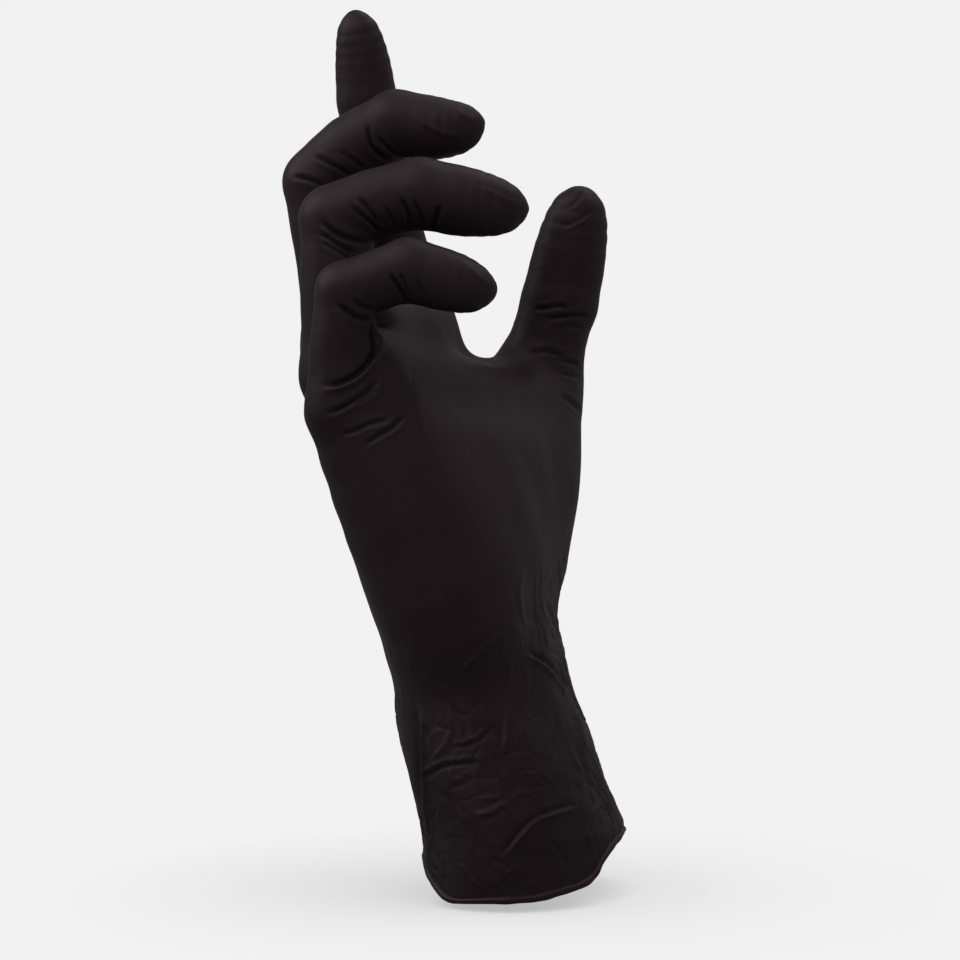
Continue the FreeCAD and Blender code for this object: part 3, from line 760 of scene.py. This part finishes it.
def joint_folds():
    """Lift of the folds fanning out on the inner side of each bend."""
    lift = np.zeros(len(points))
    for number, (name, hinges) in enumerate(HINGE.items()):
        for i in (1, 2):
            before, joint, after = hinges[i - 1:i + 2]
            if name == "thumb":
                axis = np.array([0, 1.0, 0])
            else:
                yaw = math.radians(AXIS_YAW[name])
                axis = np.array([math.cos(yaw), math.sin(yaw), 0])
            inward = unit(before - joint) + unit(after - joint)
            if np.linalg.norm(inward) < 0.45:  # too straight to tell: take the palm side
                inward = np.cross(unit(after - before), axis)
                if inward[1] > 0:
                    inward = -inward
            inward = unit(inward - axis * (inward @ axis))
            e = points - (joint - inward * FAN_RADIUS)
            u, v = e @ inward, e @ np.cross(axis, inward)
            radius, phi = np.hypot(u, v), np.arctan2(v, u)
            near = np.flatnonzero((np.linalg.norm(points - joint, axis=1) < 22)
                                  & (np.abs(phi) < 0.9) & (weights[name] > 0.01))
            if not len(near):
                continue
            radius, phi = radius[near], phi[near]
            rng = np.random.RandomState(100 + 10 * number + i)
            wobble = 0.05 * ripple(points[near], wave=9.0, seed=50 + i + 3 * number)
            h = np.zeros(len(near))
            angles = np.linspace(-0.5, 0.5, FAN_FOLDS) + rng.uniform(-0.06, 0.06, FAN_FOLDS)
            for angle in angles:
                x = (phi - angle - wobble) * radius / FAN_SIGMA
                h += rng.uniform(0.5, 1.0) * valley(x, lip=0.4, lip_at=2.3)
            inner = (rise(radius, FAN_RADIUS, 1.75 * FAN_RADIUS)
                     * rise(np.abs(phi), 0.85, 0.55))
            # deeper where the film turns away from the camera
            hidden = 0.18 + 0.6 * rise(facing[near], 0.05, -0.35)
            lift[near] += FAN_HEIGHT[name] * h * inner * weights[name][near] * hidden
    return lift


def film_ripples():
    """Lift of the loose film on the sleeve and wrist, and of the tighter film above."""
    p, z = points, points[:, 2]
    # the loose film reaches higher towards the right of the view
    loose_top = 44 + 32 * np.clip((p @ RIGHT + 30) / 41, -0.2, 1.15)
    loose = rise(z, loose_top + 9, loose_top - 13)
    taut = 1 - loose
    calm_strip = rise(seen[:, 0], -14, -16) * front * rise(seen[:, 1], -52.5, -57.5)
    wide = ripple(p * [1, 1, 0.5], wave=17.0, seed=11)
    upright = ripple(p * [1, 1, 0.55] + 0.8 * wide[:, None], wave=10.5, seed=12)
    level = ripple(p * [1, 1, 1.3] + 0.6 * wide[:, None], wave=8.0, seed=13)
    fine = ripple(p * [1, 1, 0.8], wave=4.6, seed=14)
    patches = 0.35 + 0.65 * rise(0.5 + 0.6 * ripple(p, wave=24.0, seed=16))
    creases = (0.27 * (crest(upright, 0.36) - 0.35) - 0.21 * (crest(level, 0.32) - 0.3)
               + 0.085 * (crest(fine, 0.36) - 0.35))
    lift = loose * (1 - 0.7 * calm_strip) * (0.24 * wide + patches * creases)
    digit = rise(digit_gap.min(1), 2.2, 0.7)
    swell = 0.06 * (1 - 0.7 * digit) * ripple(p * [1, 1, 0.6], wave=21.0, seed=21)
    small = 0.016 * ripple(p, wave=9.0, seed=22)
    lines = 0.02 * digit * (crest(ripple(p * [1, 1, 0.6], wave=9.0, seed=23), 0.3) - 0.3)
    lift += taut * (swell + small + lines)
    back_of_hand = rise(normals[:, 1], 0.1, 0.7) * taut * (1 - digit)
    streaks = crest(ripple(p * [1.6, 1, 0.35], wave=14.0, seed=24), 0.3) - 0.3
    return lift + back_of_hand * 0.10 * streaks


drawn, crease_shade = drawn_folds()
fans = joint_folds()
lift = (drawn + fans + film_ripples()) * (1 - 0.75 * rim)
points = points + normals * np.clip(lift, -0.9, 0.9)[:, None]
points = relax(points, edges, rim, 0.12)
normals = vertex_normals(points, quads)

# painted shade: 0 on open film, towards 1 where shade is painted in, darker and less shiny; here in
# the beds of folds and joint creases
painted_shade = np.clip((crease_shade + 0.4 * np.clip(-fans, 0, None)) / 0.40, 0, 1) * 0.72
# painted shade: darker and less shiny towards the bottom of the sleeve and round the little
# finger's root
LITTLE_ROOT, LITTLE_ROOT_SPREAD = np.array([-30.0, 36.0, 120.0]), 13.0
broad_shade = 0.30 * rise(points[:, 2], 52, 36)
broad_shade += 0.34 * np.exp(-((points - LITTLE_ROOT) ** 2).sum(1) / (2 * LITTLE_ROOT_SPREAD ** 2))
painted_shade = painted_shade + (1 - painted_shade) * broad_shade


# ------------------------------------------------------------------- materials
def add_node(tree, kind, values=None):
    """A shader node with some of its inputs set."""
    node = tree.nodes.new("ShaderNode" + kind)
    for socket, value in (values or {}).items():
        node.inputs[socket].default_value = value
    return node


def nitrile(name, roughness, grain):
    """Black film, darker and less shiny where the attribute of painted shade is high; grain scales
    its bumps.
    """
    mat = bpy.data.materials.new(name)
    mat.use_nodes = True
    tree = mat.node_tree
    shader = tree.nodes["Principled BSDF"]
    shader.inputs["Base Color"].default_value = (0.0132, 0.0092, 0.0104, 1)  # if unlinked
    shader.inputs["Specular Tint"].default_value = (1.0, 0.80, 0.865, 1)
    attribute = add_node(tree, "Attribute")
    attribute.attribute_name = "painted_shade"
    # a colour Mix has its factor at input 0, colours at 6 and 7, and result at output 2; colour 7
    # is the painted shade
    colour = add_node(tree, "Mix", {6: (0.0168, 0.0104, 0.0123, 1), 7: (0.0030, 0.0021, 0.0024, 1)})
    colour.data_type = "RGBA"
    # painted shade also lowers the specular level
    specular = add_node(tree, "MapRange", {"To Min": 0.16, "To Max": 0.03})
    place = add_node(tree, "TexCoord")
    patches = add_node(tree, "TexNoise", {"Scale": 60.0, "Detail": 3.0})
    rough = add_node(tree, "MapRange", {"From Min": 0.3, "From Max": 0.7,
                                        "To Min": roughness - 0.04, "To Max": roughness + 0.05})
    fine = add_node(tree, "TexNoise", {"Scale": 1500.0, "Detail": 2.0})
    soft = add_node(tree, "TexNoise", {"Scale": 260.0, "Detail": 4.0, "Distortion": 0.6})
    fine_bump = add_node(tree, "Bump", {"Strength": 0.5 * grain, "Distance": 0.00004})
    soft_bump = add_node(tree, "Bump", {"Strength": 0.5 * grain, "Distance": 0.00018})
    link = tree.links.new
    link(attribute.outputs["Fac"], colour.inputs[0])
    link(attribute.outputs["Fac"], specular.inputs["Value"])
    link(colour.outputs[2], shader.inputs["Base Color"])
    link(specular.outputs["Result"], shader.inputs["Specular IOR Level"])
    for noise in (patches, fine, soft):
        link(place.outputs["Object"], noise.inputs["Vector"])
    link(patches.outputs["Fac"], rough.inputs["Value"])
    link(rough.outputs["Result"], shader.inputs["Roughness"])
    link(fine.outputs["Fac"], fine_bump.inputs["Height"])
    link(soft.outputs["Fac"], soft_bump.inputs["Height"])
    link(fine_bump.outputs["Normal"], soft_bump.inputs["Normal"])
    link(soft_bump.outputs["Normal"], shader.inputs["Normal"])
    return mat


MEMBRANE = nitrile("nitrile_membrane", roughness=0.47, grain=1.0)
ROLLED = nitrile("nitrile_rolled_rim", roughness=0.45, grain=0.6)


def linked(name, data):
    obj = bpy.data.objects.new(name, data)
    bpy.context.scene.collection.objects.link(obj)
    return obj


def mesh_object(name, p, quads, mat, normals, painted_shade=None):
    mesh = bpy.data.meshes.new(name)
    mesh.vertices.add(len(p))
    mesh.vertices.foreach_set("co", (p * 0.001).astype(np.float32).ravel())
    mesh.loops.add(quads.size)
    mesh.loops.foreach_set("vertex_index", quads.astype(np.int32).ravel())
    mesh.polygons.add(len(quads))
    mesh.polygons.foreach_set("loop_start", (np.arange(len(quads)) * 4).astype(np.int32))
    mesh.polygons.foreach_set("loop_total", np.full(len(quads), 4, np.int32))
    mesh.update(calc_edges=True)
    mesh.shade_smooth()
    mesh.normals_split_custom_set_from_vertices(normals.astype(np.float32))
    # the painted shade, when given, is stored as a point attribute for the material
    if painted_shade is not None:
        layer = mesh.attributes.new("painted_shade", "FLOAT", "POINT")
        layer.data.foreach_set("value", painted_shade.astype(np.float32))
    mesh.materials.append(mat)
    return linked(name, mesh)


# ---------------------------------------------------------------------- pieces
# Each piece is cut for one body or one joint; the sleeve and the palm follow their bodies and
# the rest are baked in place.  Edges between pieces lie where both would follow the same body, or
# bend by the same share.
WRIST_LOW, WRIST_HIGH = np.array([4.2, 9.2, 34.0]), np.array([7.0, 15.4, 57.0])
WRIST_UP = unit(WRIST_HIGH - WRIST_LOW)
REACH = {  # where each bend starts and ends, mm from its hinge point, knuckle to tip
    "index": [(1.5, 8.1), (-9.0, 9.0), (-8.0, 8.0)],
    "middle": [(0.0, 8.6), (-8.5, 8.5), (-6.0, 8.0)],
    "ring": [(-0.5, 6.8), (-3.4, 5.5), (-6.0, 8.0)],
    "little": [(-1.5, 4.9), (-1.8, 3.5), (-4.0, 7.0)],
}
PHALANGES = ["proximal", "middle", "tip"]


def bend_directions(hinges):
    """Direction along the finger in which each of its three bends is measured."""
    d = [unit(hinges[i + 1] - hinges[i]) for i in range(3)]
    return [unit(d[0] + KNUCKLE_TILT), unit(d[0] + d[1]), unit(d[1] + d[2])]


BENDS = {name: bend_directions(HINGE[name]) for name in FINGERS}
THUMB_KNUCKLE, THUMB_JOINT = HINGE["thumb"][1:3]
THUMB_ALONG = unit(THUMB_JOINT - THUMB_KNUCKLE)
THUMB_CUT = unit(THUMB_ALONG + np.array([0.8, 0, 0]))
# three ramps into the thumb (direction, start, end): from the wrist, from the palm,
# from the index root
RAMPS = {
    "thenar": (WRIST_UP, WRIST_UP @ WRIST_HIGH + 17, WRIST_UP @ WRIST_HIGH + 31),
    "thumb_base": (np.array([1, -0.5, 0.15]), 37.0, 48.5),
    "thumb_web": (np.array([1, -0.5, -0.3]), -14.0, -2.5),
}
# -X of the lines between neighbouring finger columns
COLUMN_EDGES = [-20.7, 0.1, 18.0]
# a root eases in sideways from its neighbour, and upwards from the web:
# sideways direction, where it starts, and the two fingers of the web
TO_INDEX, TO_LITTLE = np.array([1.0, 0, 0]), np.array([-1.0, 0, 0])
WEBS = {
    "index": (TO_INDEX, -COLUMN_EDGES[0], ("index", "middle")),
    "ring": (TO_LITTLE, COLUMN_EDGES[1], ("middle", "ring")),
    "little": (TO_LITTLE, COLUMN_EDGES[2], ("ring", "little")),
}
WEB_WIDTH = 3.8
GAP_LOW, GAP_HIGH = 0.9, 4.4  # heights above the web


def nearest_span(c, hinges):
    """Which of a finger's three straight spans lies nearest."""
    gaps = []
    for a, b in zip(hinges, hinges[1:]):
        ba = b - a
        t = np.clip(((c - a) @ ba) / (ba @ ba), 0, 1)
        gaps.append(np.linalg.norm(c - a - t[:, None] * ba, axis=1))
    return np.stack(gaps, 1).argmin(1)


def label_quads(c):
    """Name of the piece each quad belongs to, from its centre."""
    label = np.empty(len(c), object)
    above_high = (c - WRIST_HIGH) @ WRIST_UP
    label[:] = "palm"
    label[above_high < 17] = "heel"
    label[above_high < -11] = "wrist"
    label[(c - WRIST_LOW) @ WRIST_UP < -15] = "cuff_sleeve"
    ramps = np.stack([(c @ n - a) / (b - a) for n, a, b in RAMPS.values()], 1)
    lowest = ramps.min(1)
    for i, name in enumerate(RAMPS):
        label[(above_high >= 17) & (lowest > 0) & (ramps.argmin(1) == i)] = name

    gap = batched(part_fields, c)
    finger, finger_gap = gap[:, :4].argmin(1), gap[:, :4].min(1)
    spans = {name: nearest_span(c, HINGE[name]) for name in FINGERS}
    beyond = np.choose(finger, list(spans.values())) >= 1
    beyond &= finger_gap < batched(hand_field, c)
    columns = np.digitize(-c[:, 0], COLUMN_EDGES)
    whose = np.where(beyond | (finger_gap < 2.0), finger, columns)
    for i, name in enumerate(FINGERS):
        (start0, end0), (start1, _), (start2, _) = REACH[name]
        s0, s1, s2 = [(c - HINGE[name][k]) @ BENDS[name][k] for k in range(3)]
        span = spans[name]
        mine = (whose == i) & (gap[:, i] < gap[:, 4]) & ((s0 > start0 - 0.6) | beyond)
        past1 = ((s1 > start1 - 0.3) & (s0 > 0.8 * end0)) | (beyond & (span >= 1))
        past2 = ((s2 > start2 - 0.3) & (span >= 1)) | (span >= 2)
        if name in WEBS:
            direction, start, pair = WEBS[name]
            knuckle = np.minimum((s0 - start0) / (end0 - start0), 1)
            across = (c @ direction - start) / WEB_WIDTH
            above = (above_web(c, *pair) - GAP_LOW) / (GAP_HIGH - GAP_LOW)
            eased = mine & (s1 < start1 + 1.5) & (np.maximum(across, above) < knuckle)
            past1 &= ~eased
        label[mine] = name + "_proximal"
        label[mine & past1] = name + "_middle"
        label[mine & past1 & past2] = name + "_tip"
        if name in WEBS:
            label[eased] = name + "_web"
            label[eased & (above > across)] = name + "_gap"
    thumb = ((gap[:, 4] < finger_gap) & (gap[:, 4] < 9)
             & ((c - THUMB_KNUCKLE) @ THUMB_CUT > -3.6) & (lowest >= 1))
    label[thumb] = "thumb_proximal"
    label[thumb & ((c - THUMB_KNUCKLE) @ THUMB_ALONG > 11.5)] = "thumb_tip"
    return label


def blend(obj, a, b, place, direction, start, end):
    """Bake the piece's placement into its mesh; a, b, place, direction, start and end are not used.
    """
    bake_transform(obj)


def follow(obj, name):
    """Attach the sleeve and the palm to their bodies, and bake every other piece in place."""
    digit, _, part = name.partition("_")
    if name == "cuff_sleeve":
        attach(obj, "cuff")
    elif name == "wrist":
        blend(obj, "cuff", "wrist", WRIST_LOW, WRIST_UP, -14, 6)
    elif name == "heel":
        blend(obj, "wrist", "hand", WRIST_HIGH, WRIST_UP, -6, 16)
    elif name == "palm":
        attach(obj, "hand")
    elif name in RAMPS:
        n, start, end = RAMPS[name]
        blend(obj, "hand", "thumb_base", 0.0, n / (n @ n), start, end)
    elif part == "web":
        direction, start, _ = WEBS[digit]
        blend(obj, "hand", digit + "_proximal", 0.0, direction, start, start + WEB_WIDTH)
    elif part == "gap":
        up, foot = web_frame(*WEBS[digit][2])
        blend(obj, "hand", digit + "_proximal", foot, up, GAP_LOW, GAP_HIGH)
    elif name == "thumb_proximal":
        blend(obj, "thumb_base", "thumb_proximal", THUMB_KNUCKLE, THUMB_CUT, -3, 3)
    elif name == "thumb_tip":
        blend(obj, "thumb_tip", "thumb_proximal", THUMB_JOINT, THUMB_ALONG, 8, -8)
    else:
        k = PHALANGES.index(part)
        parent = "hand" if k == 0 else digit + "_" + PHALANGES[k - 1]
        blend(obj, parent, name, HINGE[digit][k], BENDS[digit][k], *REACH[digit][k])


def build_pieces():
    label = label_quads(points[quads].mean(1))
    for name in sorted(set(label)):
        ids, inverse = np.unique(quads[label == name], return_inverse=True)
        piece = mesh_object("glove_" + name, points[ids], inverse.reshape(-1, 4), MEMBRANE,
                            normals[ids], painted_shade[ids])
        follow(piece, name)
        if name == "wrist":
            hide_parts("wrist_sleeve")
        elif name not in ("heel", "thenar") and not name.endswith(("_web", "_gap")):
            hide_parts(name)


build_pieces()

# ------------------------------------------------------------------ rolled rim
BEAD_STEPS, BEAD_SIDES = 420, 14
BEAD_RADIUS, BEAD_INSET = 0.92, 0.35


def rim_loop():
    """The film's open edge, as points evenly spaced along it."""
    sides = quad_sides(quads)
    key, count = np.unique(sides[:, 0] * len(points) + sides[:, 1], return_counts=True)
    open_edges = np.stack([key[count == 1] // len(points), key[count == 1] % len(points)], 1)
    joined = {}
    for a, b in open_edges:
        joined.setdefault(a, []).append(b)
        joined.setdefault(b, []).append(a)
    start = open_edges[0, 0]
    path, previous, current = [start], None, start
    while True:
        ahead = [v for v in joined[current] if v != previous]
        if not ahead or ahead[0] == start:
            break
        previous, current = current, ahead[0]
        path.append(current)
    closed = points[path + [start]]
    length = np.r_[0, np.cumsum(np.linalg.norm(np.diff(closed, axis=0), axis=1))]
    stops = np.linspace(0, length[-1], BEAD_STEPS, endpoint=False)
    loop = np.stack([np.interp(stops, length, closed[:, i]) for i in range(3)], 1)
    for _ in range(4):
        loop = 0.5 * loop + 0.25 * (np.roll(loop, 1, 0) + np.roll(loop, -1, 0))
    return loop


def build_bead():
    """A slightly uneven tube swept round the rim; gives its lowest z in mm."""
    loop = rim_loop()
    tangent = np.roll(loop, -1, 0) - np.roll(loop, 1, 0)
    tangent /= np.linalg.norm(tangent, axis=1)[:, None]
    out = loop - loop.mean(0)
    out -= tangent * (out * tangent).sum(1)[:, None]
    out[:, 2] *= 0.3
    out -= tangent * (out * tangent).sum(1)[:, None]
    out /= np.linalg.norm(out, axis=1)[:, None]
    up = np.cross(out, tangent)
    angle = (np.arange(BEAD_SIDES) * 2 * np.pi / BEAD_SIDES)[None, :, None]
    radius = (BEAD_RADIUS + 0.10 * ripple(loop, wave=16.0, seed=31)
              + 0.05 * ripple(loop, wave=5.0, seed=32))
    ring = np.cos(angle) * out[:, None] + 0.95 * np.sin(angle) * up[:, None]
    tube = loop[:, None] - out[:, None] * BEAD_INSET + radius[:, None, None] * ring
    index = np.arange(BEAD_STEPS * BEAD_SIDES).reshape(BEAD_STEPS, BEAD_SIDES)
    after = np.roll(index, -1, 0)
    faces = np.stack([index, after, np.roll(after, -1, 1), np.roll(index, -1, 1)], -1)
    faces = faces.reshape(-1, 4)
    tube = tube.reshape(-1, 3)
    outward = vertex_normals(tube, faces)
    # the loop may run either way round: face the tube outwards
    if ((tube - np.repeat(loop, BEAD_SIDES, 0)) * outward).sum() < 0:
        faces = faces[:, ::-1]
        outward = -outward
    bead = mesh_object("glove_cuff_bead", tube, faces, ROLLED, outward)
    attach(bead, "cuff")
    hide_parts("cuff_bead")
    return tube[:, 2].min()


bead_bottom = build_bead()

# ----------------------------------------------------------------------- stage
# from here on lengths are in metres
PALE = (0.887, 0.885, 0.886, 1)
FLOOR_HALF = 30
FLOOR_Z = bead_bottom * 0.001 - 0.0012
MIDDLE = (0.010, 0.018, 0.100)  # what the lights point at


def floor_paper():
    """Glowing paper, with a painted shadow near the glove from ambient occlusion, and dimmer to all
    but camera rays.
    """
    mat = bpy.data.materials.new("floor_paper")
    mat.use_nodes = True
    tree = mat.node_tree
    tree.nodes.remove(tree.nodes["Principled BSDF"])
    occlusion = add_node(tree, "AmbientOcclusion", {"Distance": 0.09})
    occlusion.samples = 16
    # painted shadow: the glow is dimmed where the glove occludes the floor
    shade = add_node(tree, "MapRange", {"To Min": 0.45, "To Max": 1.0})
    path = add_node(tree, "LightPath")
    glow = add_node(tree, "MapRange", {"To Min": 0.20, "To Max": 1.0})
    product = add_node(tree, "Math")
    product.operation = "MULTIPLY"
    emission = add_node(tree, "Emission", {"Color": PALE})
    link = tree.links.new
    link(occlusion.outputs["AO"], shade.inputs["Value"])
    link(path.outputs["Is Camera Ray"], glow.inputs["Value"])
    link(shade.outputs["Result"], product.inputs[0])
    link(glow.outputs["Result"], product.inputs[1])
    link(product.outputs["Value"], emission.inputs["Strength"])
    link(emission.outputs["Emission"], tree.nodes["Material Output"].inputs["Surface"])
    return mat


def build_floor():
    mesh = bpy.data.meshes.new("floor")
    corners = [(-1, -1), (1, -1), (1, 1), (-1, 1)]
    mesh.from_pydata([(x * FLOOR_HALF, y * FLOOR_HALF, FLOOR_Z) for x, y in corners], [],
                     [(0, 1, 2, 3)])
    linked("floor", mesh)
    mesh.materials.append(floor_paper())


def build_world():
    """Pale to the camera, dim as a light."""
    world = bpy.data.worlds.new("studio")
    bpy.context.scene.world = world
    world.use_nodes = True
    tree = world.node_tree
    dim = tree.nodes["Background"]
    dim.inputs["Color"].default_value = PALE
    dim.inputs["Strength"].default_value = 0.22
    backdrop = add_node(tree, "Background", {"Color": PALE})
    path = add_node(tree, "LightPath")
    mix = add_node(tree, "MixShader")
    link = tree.links.new
    link(path.outputs["Is Camera Ray"], mix.inputs["Fac"])
    link(dim.outputs["Background"], mix.inputs[1])
    link(backdrop.outputs["Background"], mix.inputs[2])
    link(mix.outputs["Shader"], tree.nodes["World Output"].inputs["Surface"])


def beside(right, up, back):
    """A place from MIDDLE: to the camera's right, along +Z, and back towards the camera."""
    offset = RIGHT * right + np.array([0, 0, 1.0]) * up - FORWARD * back
    return tuple(np.array(MIDDLE) + offset)


def around(azimuth, elevation, distance):
    """A place from MIDDLE, with degrees of azimuth from -Y towards +X."""
    a, e = math.radians(azimuth), math.radians(elevation)
    return (MIDDLE[0] + distance * math.sin(a) * math.cos(e),
            MIDDLE[1] - distance * math.cos(a) * math.cos(e),
            MIDDLE[2] + distance * math.sin(e))


def area_light(name, place, side, power, glossy=True):
    """A square light aimed at MIDDLE; glossy lights show in reflections."""
    light = bpy.data.lights.new(name, "AREA")
    light.shape = "RECTANGLE"
    light.size = light.size_y = side
    light.energy = power
    obj = linked(name, light)
    obj.location = place
    obj.rotation_mode = "QUATERNION"
    obj.rotation_quaternion = (Vector(MIDDLE) - Vector(place)).to_track_quat("-Z", "Y")
    obj.visible_glossy = glossy


def build_camera():
    data = bpy.data.cameras.new("camera")
    camera = linked("camera", data)
    data.sensor_width = SENSOR_WIDTH
    data.lens = SENSOR_WIDTH * VIEW_DISTANCE / FRAME_WIDTH
    data.clip_start, data.clip_end = 0.05, 100
    camera.location = Vector(EYE * 0.001)
    camera.rotation_mode = "QUATERNION"
    camera.rotation_quaternion = Vector(FORWARD).to_track_quat("-Z", "Y")
    bpy.context.scene.camera = camera


build_floor()
bpy.context.scene.view_settings.view_transform = "Standard"
build_world()
area_light("overhead", beside(right=-0.35, up=0.90, back=0.45), side=1.1, power=5.0)
area_light("front", beside(right=-0.25, up=0.15, back=1.2), side=1.2, power=4.3, glossy=False)
area_light("dorsal", around(azimuth=196, elevation=34, distance=1.0), side=0.8, power=4.0)
area_light("thumb_side", around(azimuth=86, elevation=30, distance=1.0), side=0.9, power=11.0,
           glossy=False)
area_light("thumb_sheen", around(azimuth=60, elevation=62, distance=1.0), side=0.8, power=1.6)
area_light("palm_side", around(azimuth=12, elevation=20, distance=1.1), side=1.0, power=3.0,
           glossy=False)
build_camera()

bpy.context.view_layer.update()
